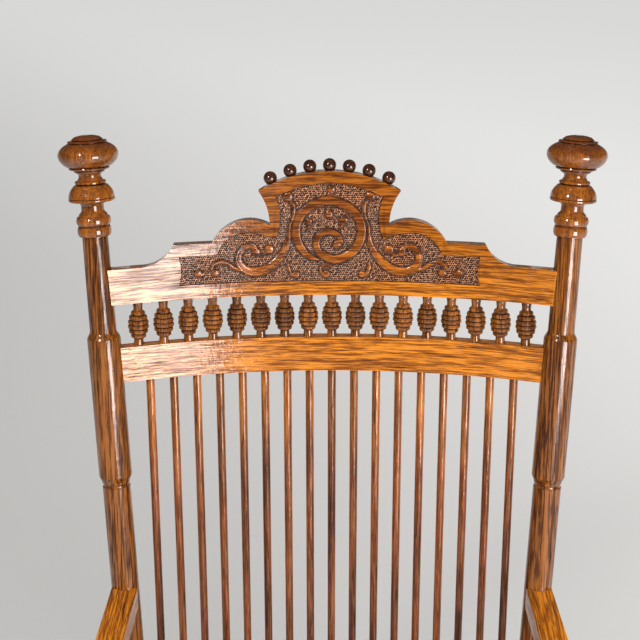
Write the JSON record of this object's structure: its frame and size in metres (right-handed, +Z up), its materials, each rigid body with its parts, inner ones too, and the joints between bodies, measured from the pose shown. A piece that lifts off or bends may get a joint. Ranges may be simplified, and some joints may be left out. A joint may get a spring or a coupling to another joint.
{
  "type": "platform rocker",
  "caption": "Stick-and-ball platform rocking chair: turned posts with knob finials, carved bent crest rail, spindle back, upholstered seat, runners rocking on a sprung platform.",
  "frame": {"origin": "on the floor, under the middle of the object's box", "axes": "+Z up, the chair faces -Y, X runs from left to right as seen from the front"},
  "size_m": [0.6, 0.7312, 1.1381],
  "materials": {
    "oak": "glossy varnish over quartered golden oak",
    "oak_rails": "glossy varnish, grain along the rail",
    "oak_dark": "darker stained turnings under glossy varnish",
    "upholstery": "worn cut velvet",
    "webbing": "coarse jute",
    "iron": "blackened iron",
    "spring_steel": "dull oiled wire",
    "screws": "aged steel",
    "brass": "aged brass"
  },
  "bodies": {
    "platform": {"lower_bracket_left": "iron", "lower_bracket_right": "iron", "bracket_screws_lower": "screws", "spring_left_front": "spring_steel", "spring_left_rear": "spring_steel", "spring_right_front": "spring_steel", "spring_right_rear": "spring_steel", "platform_rail_left": "oak", "platform_rail_right": "oak", "platform_cross_front": "oak", "platform_cross_rear": "oak", "foot_front_left": "oak_dark", "foot_front_right": "oak_dark", "foot_rear_left": "oak_dark", "foot_rear_right": "oak_dark"},
    "chair": {"back_post_left": "oak", "back_post_right": "oak", "finial_left": "oak_dark", "finial_right": "oak_dark", "crest_rail": "oak_rails", "crest_balls": "oak_dark", "beehive_spindles": "oak_dark", "middle_back_rail": "oak_rails", "back_spindles": "oak_dark", "lower_back_rail": "oak_rails", "arm_left": "oak", "arm_right": "oak", "arm_screws": "brass", "front_post_left": "oak", "front_post_right": "oak", "arm_spindles_left": "oak_dark", "arm_spindles_right": "oak_dark", "seat_rail_front": "oak", "seat_rail_back": "oak", "seat_rail_left": "oak", "seat_rail_right": "oak", "corner_blocks": "oak", "seat_webbing": "webbing", "seat_cushion": "upholstery", "front_stretcher": "oak", "rear_stretcher": "oak", "side_stretcher_left": "oak", "side_stretcher_right": "oak", "runner_left": "oak", "runner_right": "oak", "runner_tie_front": "oak", "runner_tie_rear": "oak", "upper_bracket_left": "iron", "upper_bracket_right": "iron", "bracket_screws_upper": "screws"}
  },
  "joints": [
    {"name": "rock", "type": "hinge", "parent": "platform", "child": "chair", "pos_m": [0, -0.07705, 0.1553], "axis": [1, 0, 0], "range_deg": [-8, 8], "stiffness_Nm_per_rad": 500, "deforming": ["spring_left_front", "spring_left_rear", "spring_right_front", "spring_right_rear"]}
  ]
}
